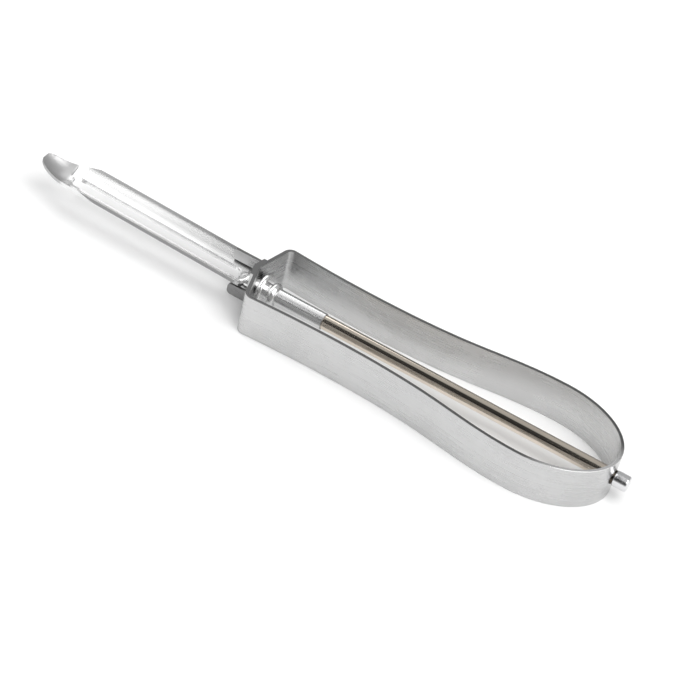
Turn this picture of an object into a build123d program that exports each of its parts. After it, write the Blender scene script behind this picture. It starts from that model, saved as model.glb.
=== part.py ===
"""Apple peeler and corer: bent-strip loop handle, turning slotted blade with a scoop tip.

Frame: +X runs along the rod from the blade to the rear, +Y to the side, +Z up.
The handle stands on its lower edge at z = 0. Millimetres.
"""
import os
from math import asin, cos, degrees, radians, sqrt

from build123d import *

# ---- driving dimensions -------------------------------------------------
total_length = 175.0        # blade tip to the end of the rear cap
strip_height = 12.7         # half-inch steel strip
strip_thick = 0.9
blade_overhang = 68.4       # blade tip to the handle's front corners
handle_length = 102.4       # front corners to the round rear end

# handle plan, half widths of the outer face
front_half_width = 11.9
waist_half_width = 10.9
waist_from_front = 25.0
shoulder_half_width = 12.5
shoulder_from_front = 54.0
widest_half_width = 15.4
rear_round_length = 22.0    # the rear is half an ellipse this long
nose_forward = 3.0          # the front wall is a blunt V
corner_radius = 2.4

# the strip's two ends, lapped over the nose and turned forward as stops
lap_half_width = 3.6
upper_stop_reach = 8.4      # stop on the +Y side, over the blade's trough
upper_stop_low = 2.1        # heights are taken from the rod's axis
upper_stop_high = 5.5
lower_stop_reach = 5.4      # stop on the -Y side, under the trough
lower_stop_low = -3.8
lower_stop_high = -0.3
stop_corner_radius = 1.2

# blade: shallow trough with a long slot, and a scoop at the tip
sheet_thick = 0.8
trough_mean_radius = 7.5
trough_half_width = 5.9
trough_gap = 0.7            # from the trough's rear end to the lapped strip
trough_floor_height = 0.15  # mid-sheet over the rod's axis, at the rear end
blade_pitch = 2.0           # degrees the trough rises towards its tip
slot_width = 3.3
slot_from_rear = 2.7
slot_length = 51.6
slot_corner_radius = 2.0    # on two opposite corners
slot_bevel_angle = 25.0
notch_length = 2.9          # break in the +Y rim between trough and scoop
taper_length = 22.0         # where the rims start to close in, from the tip
scoop_length = 8.1
scoop_curl_radius = 13.5
scoop_half_width = 4.35     # where the scoop starts
scoop_mid_half_width = 3.2
neck_length = 2.4
neck_half_width = 2.7

# shank, rod and the pieces on them
shank_radius = 2.25
shank_bore_radius = 1.45
shank_behind_nose = 21.3
seam_width = 0.3
washer_radius = 4.5
washer_thick = 1.7
washer_from_nose = 2.4
bead_radius = 3.3
bead_length = 2.4
bead_gap = 1.0
rod_radius = 1.95
rod_spigot_length = 12.0
cap_radius = 2.15
cap_length = 3.9
cap_spigot_radius = 1.25
cap_spigot_length = 3.0
running_clearance = 0.05

# ---- derived positions --------------------------------------------------
tip_x = -total_length / 2
front_x = tip_x + blade_overhang
nose_x = front_x - nose_forward
rear_x = front_x + handle_length
cap_x = total_length / 2 - cap_length
trough_rear_x = nose_x - strip_thick - trough_gap
washer_x = nose_x + washer_from_nose
bead_x = washer_x + washer_thick + bead_gap
shank_end_x = nose_x + shank_behind_nose
axis_z = strip_height / 2


def round_profile(x, radius):
    """Disc across the rod's axis at x, its seam turned off the planes of symmetry."""
    return Plane(origin=(x, 0, axis_z), x_dir=(0, 0.8, 0.6), z_dir=(1, 0, 0)) * Circle(radius)


def bar(radius, x_from, x_to):
    return extrude(round_profile(x_from, radius), amount=x_to - x_from)


def block(x_from, x_to, y_from, y_to, z_from, z_to):
    size = (x_to - x_from, y_to - y_from, z_to - z_from)
    centre = ((x_from + x_to) / 2, (y_from + y_to) / 2, (z_from + z_to) / 2)
    return Pos(*centre) * Box(*size)


# ---- handle -------------------------------------------------------------
def handle_plan(inset=0.0):
    """Outline of the loop seen from above: its outer face, or one set in by the strip."""
    widest_x = rear_x - rear_round_length
    wall_x = front_x + inset
    side = Spline(
        (wall_x, front_half_width - inset),
        (front_x + waist_from_front, waist_half_width - inset),
        (front_x + shoulder_from_front, shoulder_half_width - inset),
        (widest_x, widest_half_width - inset),
        tangents=((1, -0.08), (1, 0)),
    )
    rear = EllipticalCenterArc(
        (widest_x, 0), rear_round_length - inset, widest_half_width - inset,
        start_angle=-90, arc_size=180,
    )
    nose = Polyline(side @ 0, (nose_x + inset, 0), mirror(side, Plane.XZ) @ 0)
    plan = make_face([side, mirror(side, Plane.XZ), rear, nose])
    corners = plan.vertices().sort_by(Axis.X)[1:3]
    return fillet(corners, corner_radius - inset)


def stop_root_x():
    """Where the front wall's outer face reaches the turned-forward ends."""
    return nose_x + nose_forward * lap_half_width / front_half_width


def stop(side, reach, z_low, z_high):
    """One strip end turned forward beside the blade, its leading corners rounded."""
    y_outer = side * lap_half_width
    y_inner = side * (lap_half_width - strip_thick)
    plate = block(
        nose_x - reach, stop_root_x(), min(y_outer, y_inner), max(y_outer, y_inner),
        axis_z + z_low, axis_z + z_high,
    )
    leading = plate.edges().filter_by(Axis.Y).group_by(Axis.X)[0]
    return fillet(leading, stop_corner_radius)


def make_handle():
    band = extrude(handle_plan() - handle_plan(inset=strip_thick), amount=strip_height)

    root_x = stop_root_x()
    lap = Polyline(
        (nose_x - strip_thick, 0), (root_x - strip_thick, lap_half_width),
        (root_x + strip_thick / 2, lap_half_width), (nose_x + strip_thick / 2, 0),
        (root_x + strip_thick / 2, -lap_half_width), (root_x - strip_thick, -lap_half_width),
        close=True,
    )
    band += extrude(make_face(lap), amount=strip_height)
    band += stop(+1, upper_stop_reach, upper_stop_low, upper_stop_high)
    band += stop(-1, lower_stop_reach, lower_stop_low, lower_stop_high)

    band -= bar(shank_radius + running_clearance, nose_x - 3, front_x + 5)
    band -= bar(rod_radius + running_clearance, rear_x - 5, rear_x + 5)
    return band


# ---- blade --------------------------------------------------------------
def trough_section():
    """Shallow arc of sheet, open upwards, across the blade; its floor is the origin."""
    half_angle = degrees(asin(trough_half_width / trough_mean_radius))
    centre = (0, trough_mean_radius)
    arcs = [
        CenterArc(centre, radius, -90 - half_angle, 2 * half_angle)
        for radius in (trough_mean_radius + sheet_thick / 2, trough_mean_radius - sheet_thick / 2)
    ]
    ends = [Line(arcs[0] @ end, arcs[1] @ end) for end in (0, 1)]
    return Plane.YZ * make_face([*arcs, *ends])


def trough_plan(length):
    """Plan of the trough: straight, then tapering to a rounded point."""
    edge = trough_half_width + sheet_thick / 2
    straight = Line((1, edge), (taper_length - length, edge))
    flank = Spline(
        straight @ 1,
        (scoop_length - length, scoop_half_width),
        (0.43 * scoop_length - length, scoop_mid_half_width),
        (-length, 0),
        tangents=((-1, 0), (0, -1)),
    )
    rear = Line((1, edge), (1, -edge))
    return make_face([straight, flank, mirror(straight, Plane.XZ), mirror(flank, Plane.XZ), rear])


def make_trough():
    """Trough and scoop, running towards -X from its rear end's floor at the origin."""
    length = (trough_rear_x - tip_x) / cos(radians(blade_pitch))
    scoop_x = scoop_length - length
    curl_rise = scoop_curl_radius - sqrt(scoop_curl_radius**2 - scoop_length**2)
    floor = Line((0, 0, 0), (scoop_x, 0, 0))
    curl = TangentArc(floor @ 1, (-length, 0, curl_rise), tangent=(-1, 0, 0))
    trough = sweep(trough_section(), path=Wire([floor, curl]))

    trough &= extrude(trough_plan(length), amount=strip_height, both=True)

    slot = Rectangle(slot_length, slot_width - sheet_thick / 2)
    rounded = [slot.vertices().sort_by(Axis((0, 0, 0), (1, 1, 0)))[-1],
               slot.vertices().sort_by(Axis((0, 0, 0), (1, 1, 0)))[0]]
    slot = fillet(rounded, slot_corner_radius)
    slot = Pos(-slot_from_rear - slot_length / 2, 0, -sheet_thick / 2) * slot
    trough -= extrude(slot, amount=2 * sheet_thick, taper=-slot_bevel_angle)
    trough -= block(
        scoop_x, scoop_x + notch_length, slot_width / 2 - 0.6, strip_height,
        -strip_height, strip_height,
    )
    return trough


def make_blade():
    place = Pos(trough_rear_x, 0, axis_z + trough_floor_height) * Rot(0, blade_pitch, 0)
    trough = place * make_trough()
    trough = Pos(tip_x - trough.bounding_box().min.X, 0, 0) * trough

    flat = place * Pos(-neck_length, 0, 0) * (Plane.YZ * Ellipse(neck_half_width, sheet_thick / 2))
    neck = loft([flat, round_profile(trough_rear_x + trough_gap / 2, shank_radius)])
    shank = bar(shank_radius, trough_rear_x + trough_gap / 2, shank_end_x)

    bead_arc = ThreePointArc(
        (bead_x, shank_radius), (bead_x + bead_length / 2, bead_radius),
        (bead_x + bead_length, shank_radius),
    )
    bead = make_face([bead_arc, Polyline(bead_arc @ 0, (bead_x, 1.8), (bead_x + bead_length, 1.8),
                                         bead_arc @ 1)])
    bead = Pos(0, 0, axis_z) * revolve(Plane.XZ * bead, Axis.X)

    blade = trough + neck + shank + bead
    blade -= bar(shank_bore_radius, shank_end_x - rod_spigot_length, shank_end_x)
    seam_x = bead_x + bead_length + 1
    blade -= block(seam_x, shank_end_x + 1, -seam_width / 2, seam_width / 2, 0, axis_z)
    return blade


# ---- pieces on the shank and rod ----------------------------------------
def make_washer():
    washer = bar(washer_radius, washer_x, washer_x + washer_thick)
    rims = washer.edges().filter_by(GeomType.CIRCLE)
    washer = fillet(rims, washer_thick * 0.4)
    return washer - bar(shank_radius, washer_x, washer_x + washer_thick)


def make_rod():
    rod = bar(rod_radius, shank_end_x, cap_x)
    rod += bar(shank_bore_radius, shank_end_x - rod_spigot_length, shank_end_x)
    return rod - bar(cap_spigot_radius, cap_x - cap_spigot_length, cap_x)


def make_cap():
    cap = bar(cap_radius, cap_x, cap_x + cap_length)
    outer_rim = cap.edges().filter_by(GeomType.CIRCLE).sort_by(Axis.X)[-1]
    cap = fillet(outer_rim, 0.5)
    return cap + bar(cap_spigot_radius, cap_x - cap_spigot_length, cap_x)


nodes = {
    "handle_band": make_handle(),
    "blade": make_blade(),
    "retaining_washer": make_washer(),
    "pivot_rod": make_rod(),
    "rear_cap": make_cap(),
}
os.makedirs("parts", exist_ok=True)
for name, solid in nodes.items():
    export_step(solid, f"parts/{name}.step")
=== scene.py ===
import math

import bpy
from mathutils import Matrix, Vector

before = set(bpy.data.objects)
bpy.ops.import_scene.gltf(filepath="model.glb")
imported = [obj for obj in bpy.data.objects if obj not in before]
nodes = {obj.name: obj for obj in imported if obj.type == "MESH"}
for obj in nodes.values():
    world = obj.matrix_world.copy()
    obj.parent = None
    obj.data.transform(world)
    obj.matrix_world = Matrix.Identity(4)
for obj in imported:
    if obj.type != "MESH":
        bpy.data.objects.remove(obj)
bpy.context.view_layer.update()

# Camera, in the part's frame: metres, degrees, and millimetres of lens and sensor
CAMERA_PLACE = Vector((0.17526, -0.48510, 0.46944))
CAMERA_AZIMUTH = 19.112
CAMERA_ELEVATION = 42.302
CAMERA_ROLL = 15.110
CAMERA_LENS = 140.97
CAMERA_SENSOR = 36.0
CAMERA_NEAR = 0.01
CAMERA_FAR = 20.0

# Room: its radiance, and a dark side given by a direction and two angles from it in degrees
ROOM_LIGHT = 0.50
DARK_SIDE_LIGHT = 0.02
DARK_SIDE_DIRECTION = (-0.20, -0.64, 0.74)
DARK_SIDE_CORE = 28.0
DARK_SIDE_EDGE = 46.0
FLOOR_SIZE = 6.0
FLOOR_WHITE = 0.93

# Soft lights, three on the blade's side and two on the other: place, the way the back faces, size, radiance
UP = Vector((0, 0, 1))
SOFT_LIGHTS = {
    "softbox": (Vector((-0.39, 0.30, 0.50)), UP, (0.45, 1.00), 1.1),
    "panel": (Vector((-0.42, -0.40, 0.40)), Vector((0, -0.40, 0.40)), (0.46, 0.50), 0.44),
    "strip": (Vector((-0.230, -0.31, 0.50)), UP, (0.06, 0.24), 1.5),
    "side": (Vector((0.75, -0.10, 0.58)), Vector((0.75, -0.10, 0.58)), (0.80, 1.00), 1.0),
    "top": (Vector((0.33, -0.28, 0.75)), UP, (0.60, 0.80), 2.5),
}

# Places on the tool, in metres. Each pair of X or Y is where a change starts and ends.
ROD_AXIS_Z = 0.00635
SHANK_STARTS_X = -0.0250
TROUGH_REAR_X = -0.0237
TROUGH_ARC_CENTRE_Z = 0.0140
TROUGH_RISE = 0.0349
SCOOP_ENDS_X = (-0.0800, -0.0786)
LOWER_STOP_X = (-0.0226, -0.0218)
LOWER_STOP_Y = (-0.0020, -0.0014)
# Where the painted highlight on the strip's near top edge starts and ends
EDGE_HIGHLIGHT_X = (0.062, 0.074)
EDGE_HIGHLIGHT_Y = (-0.002, 0.006)
ROD_DARKENS_X = (0.0822, 0.0828)

# Metal: noise cells per metre, octaves and gain of the lines and the blotches, and how far both move the finish
LINE_OCTAVES = 4.0
LINE_GAIN = 0.6
BLOTCH_CELLS = 95.0
BLOTCH_OCTAVES = 3.0
BLOTCH_GAIN = 0.55
LIGHT_BLOTCH = 1.04
DARK_BLOTCH = 0.95
COLOUR_NOISE_BAND = (0.38, 0.62)
ROUGH_NOISE_BAND = (0.35, 0.65)
SMOOTH_BLOTCH = 0.93
ROUGH_BLOTCH = 1.10

# Sheared edges, duller, and painted shade and highlights on the metal: grey levels, roughness, and the share of a
# normal at which an edge begins and ends
STRIP_EDGE_DULL_AND_SHADE_GREY, STRIP_EDGE_ROUGH = 0.13, 0.42
EDGE_HIGHLIGHT_GREY, EDGE_HIGHLIGHT_ROUGH = 0.75, 0.25
STRIP_EDGE_NORMAL = (0.55, 0.85)
LOWER_STOP_SHADE_GREY = 0.24
BLADE_EDGE_DULL_AND_SHADE_GREY, BLADE_EDGE_ROUGH = 0.34, 0.40
BLADE_EDGE_NORMAL = (0.20, 0.42)
SCOOP_SHADE_GREY, SCOOP_ROUGH = 0.48, 0.42
# Painted shade on the rod in the gap at the rear wall
ROD_GAP_SHADE_COLOUR = (0.06, 0.05, 0.04, 1.0)

# Broken edges: metres, degrees
SAME_POINT = 1e-6
FLAT_ANGLE = 0.4
SHARP_ANGLE = 40
EDGE_SEGMENTS = 2
FACE_WEIGHT = 60


def make_camera():
    """A long lens above the near side of the handle, rolled so that the tool runs down the picture."""
    azimuth = math.radians(CAMERA_AZIMUTH)
    elevation = math.radians(CAMERA_ELEVATION)
    roll = math.radians(CAMERA_ROLL)
    back = Vector((
        math.sin(azimuth) * math.cos(elevation),
        -math.cos(azimuth) * math.cos(elevation),
        math.sin(elevation),
    ))
    level = Vector((math.cos(azimuth), math.sin(azimuth), 0.0))
    upright = back.cross(level)
    right = math.cos(roll) * level + math.sin(roll) * upright
    up = math.cos(roll) * upright - math.sin(roll) * level
    data = bpy.data.cameras.new("camera")
    data.lens = CAMERA_LENS
    data.sensor_width = CAMERA_SENSOR
    data.clip_start = CAMERA_NEAR
    data.clip_end = CAMERA_FAR
    camera = bpy.data.objects.new("camera", data)
    bpy.context.scene.collection.objects.link(camera)
    turn = Matrix((right, up, back)).transposed().to_4x4()
    camera.matrix_world = Matrix.Translation(CAMERA_PLACE) @ turn
    bpy.context.scene.camera = camera


class Nodes:
    """A short way to write a node tree. A socket is named, or numbered where its node repeats a name."""

    def __init__(self, tree):
        self.tree = tree
        tree.nodes.clear()

    def add(self, kind, settings=None, **inputs):
        node = self.tree.nodes.new(kind)
        for name, value in (settings or {}).items():
            setattr(node, name, value)
        for name, value in inputs.items():
            self.set(node, name.replace("_", " "), value)
        return node

    def set(self, node, socket_key, value):
        socket = node.inputs[socket_key]
        if isinstance(value, bpy.types.NodeSocket):
            self.tree.links.new(value, socket)
        else:
            socket.default_value = value

    def math(self, operation, *values):
        node = self.add("ShaderNodeMath", {"operation": operation})
        for i, value in enumerate(values):
            self.set(node, i, value)
        return node.outputs[0]

    def vector_math(self, operation, *values):
        node = self.add("ShaderNodeVectorMath", {"operation": operation})
        for i, value in enumerate(values):
            self.set(node, i, value)
        return node.outputs

    def ramp(self, value, band, to_low, to_high):
        """Goes smoothly from to_low to to_high as value crosses the band."""
        node = self.add("ShaderNodeMapRange", {"interpolation_type": "SMOOTHSTEP"})
        for i, v in enumerate((value, *band, to_low, to_high)):
            self.set(node, i, v)
        return node.outputs[0]

    def mix(self, share, first, second):
        """Mixes two colours; their sockets are the seventh and eighth of the node."""
        node = self.add("ShaderNodeMix", {"data_type": "RGBA"})
        for i, value in ((0, share), (6, first), (7, second)):
            self.set(node, i, value)
        return node.outputs[2]

    def blend(self, share, first, second):
        """Mixes two numbers, the first of them a socket."""
        return self.math("MULTIPLY_ADD", share, self.math("SUBTRACT", second, first), first)


def grey(level):
    return (level, level, level, 1.0)


def make_world():
    """An even white room, dark on the side the camera stands on."""
    world = bpy.data.worlds.new("studio")
    world.use_nodes = True
    bpy.context.scene.world = world
    n = Nodes(world.node_tree)
    way = n.add("ShaderNodeTexCoord").outputs["Generated"]
    dark_way = Vector(DARK_SIDE_DIRECTION).normalized()
    facing = n.vector_math("DOT_PRODUCT", way, tuple(dark_way))["Value"]
    band = [math.cos(math.radians(angle)) for angle in (DARK_SIDE_EDGE, DARK_SIDE_CORE)]
    strength = n.ramp(facing, band, ROOM_LIGHT, DARK_SIDE_LIGHT)
    light = n.add("ShaderNodeBackground", Color=grey(1), Strength=strength)
    n.add("ShaderNodeOutputWorld", Surface=light.outputs[0])


def make_soft_light(name, place, facing, size, radiance):
    """A rectangular light whose back points along facing. Its power is four times its radiance times its area."""
    data = bpy.data.lights.new(name, "AREA")
    data.shape = "RECTANGLE"
    data.size, data.size_y = size
    data.energy = 4 * radiance * size[0] * size[1]
    light = bpy.data.objects.new(name, data)
    bpy.context.scene.collection.objects.link(light)
    turn = facing.to_track_quat("Z", "Y").to_matrix().to_4x4()
    light.matrix_world = Matrix.Translation(place) @ turn


def make_floor():
    mesh = bpy.data.meshes.new("floor")
    half = FLOOR_SIZE / 2
    corners = [(-half, -half, 0), (half, -half, 0), (half, half, 0), (-half, half, 0)]
    mesh.from_pydata(corners, [], [(0, 1, 2, 3)])
    floor = bpy.data.objects.new("floor", mesh)
    bpy.context.scene.collection.objects.link(floor)
    material = bpy.data.materials.new("floor_white")
    material.use_nodes = True
    n = Nodes(material.node_tree)
    paper = n.add("ShaderNodeBsdfDiffuse", Color=grey(FLOOR_WHITE))
    n.add("ShaderNodeOutputMaterial", Surface=paper.outputs[0])
    mesh.materials.append(material)


def metal(name, colour, roughness, grain, relief, painted_light_and_edges=None):
    """Rolled or drawn metal with fine lines along its grain and soft blotches.
    grain is the number of noise cells per metre along X, Y and Z, and relief is the depth of the lines in metres.
    painted_light_and_edges, if given, takes the nodes, the place node and the colour and roughness, and returns
    them changed with painted shade, painted highlights and duller edges."""
    material = bpy.data.materials.new(name)
    material.use_nodes = True
    n = Nodes(material.node_tree)
    place = n.add("ShaderNodeTexCoord")
    stretched = n.add("ShaderNodeMapping", Vector=place.outputs["Object"], Scale=grain)
    line = n.add(
        "ShaderNodeTexNoise", Vector=stretched.outputs[0], Scale=1.0, Detail=LINE_OCTAVES, Roughness=LINE_GAIN,
    ).outputs["Fac"]
    blotch = n.add(
        "ShaderNodeTexNoise", Vector=place.outputs["Object"], Scale=BLOTCH_CELLS, Detail=BLOTCH_OCTAVES,
        Roughness=BLOTCH_GAIN,
    ).outputs["Fac"]
    shade = n.math("MULTIPLY_ADD", blotch, 0.5, n.math("MULTIPLY", line, 0.5))
    light_side = [min(1.0, c * LIGHT_BLOTCH) for c in colour]
    dark_side = [c * DARK_BLOTCH for c in colour]
    face = n.mix(n.ramp(shade, COLOUR_NOISE_BAND, 0.0, 1.0), (*dark_side, 1.0), (*light_side, 1.0))
    rough = n.ramp(shade, ROUGH_NOISE_BAND, roughness * SMOOTH_BLOTCH, roughness * ROUGH_BLOTCH)
    if painted_light_and_edges:
        face, rough = painted_light_and_edges(n, place, face, rough)
    bump = n.add("ShaderNodeBump", Strength=1.0, Distance=relief, Height=line).outputs[0]
    shader = n.add("ShaderNodeBsdfPrincipled", Base_Color=face, Roughness=rough, Metallic=1.0, Normal=bump)
    n.add("ShaderNodeOutputMaterial", Surface=shader.outputs[0])
    return material


def split(n, vector):
    parts = n.add("ShaderNodeSeparateXYZ", Vector=vector).outputs
    return parts["X"], parts["Y"], parts["Z"]


def strip_edges_shade_and_highlight(n, place, face, rough):
    """The strip's sheared edges are dull and painted dark as shade, with a painted highlight on the near side of
    the round end.
    The lower stop is painted dark all over as shade."""
    x, y, _ = split(n, place.outputs["Object"])
    _, _, upward = split(n, place.outputs["Normal"])
    # Sheared edges: duller, and painted dark as shade
    edge = n.ramp(n.math("ABSOLUTE", upward), STRIP_EDGE_NORMAL, 0.0, 1.0)
    # Painted highlight on the near top edge of the round end
    edge_highlight = n.math("MULTIPLY", n.ramp(x, EDGE_HIGHLIGHT_X, 0.0, 1.0), n.ramp(y, EDGE_HIGHLIGHT_Y, 1.0, 0.0))
    # Painted shade over the lower stop
    stop_shade = n.math("MULTIPLY", n.ramp(x, LOWER_STOP_X, 1.0, 0.0), n.ramp(y, LOWER_STOP_Y, 1.0, 0.0))
    edge_shade_and_highlight = n.mix(edge_highlight, grey(STRIP_EDGE_DULL_AND_SHADE_GREY), grey(EDGE_HIGHLIGHT_GREY))
    edge_rough = n.ramp(edge_highlight, (0.0, 1.0), STRIP_EDGE_ROUGH, EDGE_HIGHLIGHT_ROUGH)
    face = n.mix(edge, n.mix(stop_shade, face, grey(LOWER_STOP_SHADE_GREY)), edge_shade_and_highlight)
    return face, n.blend(edge, rough, edge_rough)


def blade_edges_and_scoop_shade(n, place, face, rough):
    """The scoop is rougher and painted darker as shade, and the blade's cut edges are duller than its polished
    faces and painted darker as shade. A face looks towards the axis of the trough or of the shank, and an edge
    looks across that direction."""
    x, y, z = split(n, place.outputs["Object"])
    back_from_rear = n.math("SUBTRACT", TROUGH_REAR_X, x)
    trough_axis_z = n.math("MULTIPLY_ADD", back_from_rear, TROUGH_RISE, TROUGH_ARC_CENTRE_Z)
    on_shank = n.math("GREATER_THAN", x, SHANK_STARTS_X)
    axis_z = n.blend(on_shank, trough_axis_z, ROD_AXIS_Z)
    outward = n.add("ShaderNodeCombineXYZ", X=0.0, Y=y, Z=n.math("SUBTRACT", z, axis_z))
    unit = n.vector_math("NORMALIZE", outward.outputs[0])["Vector"]
    facing = n.vector_math("DOT_PRODUCT", unit, place.outputs["Normal"])["Value"]
    # The scoop: rougher, and painted darker as shade
    scoop_area = n.ramp(x, SCOOP_ENDS_X, 1.0, 0.0)
    face = n.mix(scoop_area, face, grey(SCOOP_SHADE_GREY))
    rough = n.blend(scoop_area, rough, SCOOP_ROUGH)
    # Cut edges: duller, and painted darker as shade
    edge = n.ramp(n.math("ABSOLUTE", facing), BLADE_EDGE_NORMAL, 1.0, 0.0)
    face = n.mix(edge, face, grey(BLADE_EDGE_DULL_AND_SHADE_GREY))
    return face, n.blend(edge, rough, BLADE_EDGE_ROUGH)


def rod_gap_shade(n, place, face, rough):
    """The rod is painted dark as shade where it runs through the rear wall, in the gap between the wall and the
    cap.
    """
    x, _, _ = split(n, place.outputs["Object"])
    # Painted shade in the gap at the rear wall
    return n.mix(n.ramp(x, ROD_DARKENS_X, 0.0, 1.0), face, ROD_GAP_SHADE_COLOUR), rough


def finish_node(name, edge_width, material):
    """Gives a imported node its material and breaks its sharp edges."""
    node = nodes[name]
    for slot in node.material_slots:
        slot.material = material
    weld = node.modifiers.new("weld", "WELD")
    weld.merge_threshold = SAME_POINT
    flat = node.modifiers.new("flat", "DECIMATE")
    flat.decimate_type = "DISSOLVE"
    flat.angle_limit = math.radians(FLAT_ANGLE)
    bevel = node.modifiers.new("bevel", "BEVEL")
    bevel.width = edge_width
    bevel.segments = EDGE_SEGMENTS
    bevel.limit_method = "ANGLE"
    bevel.angle_limit = math.radians(SHARP_ANGLE)
    bevel.use_clamp_overlap = True
    even = node.modifiers.new("even", "WEIGHTED_NORMAL")
    even.keep_sharp = False
    even.weight = FACE_WEIGHT


make_camera()
make_world()
for light_name, settings in SOFT_LIGHTS.items():
    make_soft_light(light_name, *settings)
make_floor()

# Each node: the width of its broken edges, then its metal's name, colour, roughness, grain, relief, and its
# painted light and duller edges
finish_node("handle_band", 0.00014, metal(
    "strip_steel", (0.57, 0.57, 0.57), 0.27, (25, 25, 2600), 0.000004, strip_edges_shade_and_highlight))
finish_node("blade", 0.00008, metal(
    "blade_steel", (0.80, 0.80, 0.80), 0.23, (25, 2600, 2600), 0.0000002, blade_edges_and_scoop_shade))
finish_node("retaining_washer", 0.00010, metal(
    "washer_steel", (0.84, 0.84, 0.84), 0.16, (2600, 900, 900), 0.0000002))
finish_node("pivot_rod", 0.00010, metal(
    "rod_brass", (0.76, 0.685, 0.59), 0.12, (25, 2400, 2400), 0.0000002, rod_gap_shade))
finish_node("rear_cap", 0.00025, metal(
    "cap_steel", (0.72, 0.72, 0.73), 0.20, (3000, 900, 900), 0.0000008))

view = bpy.context.scene.view_settings
view.view_transform = "Standard"
view.look = "None"
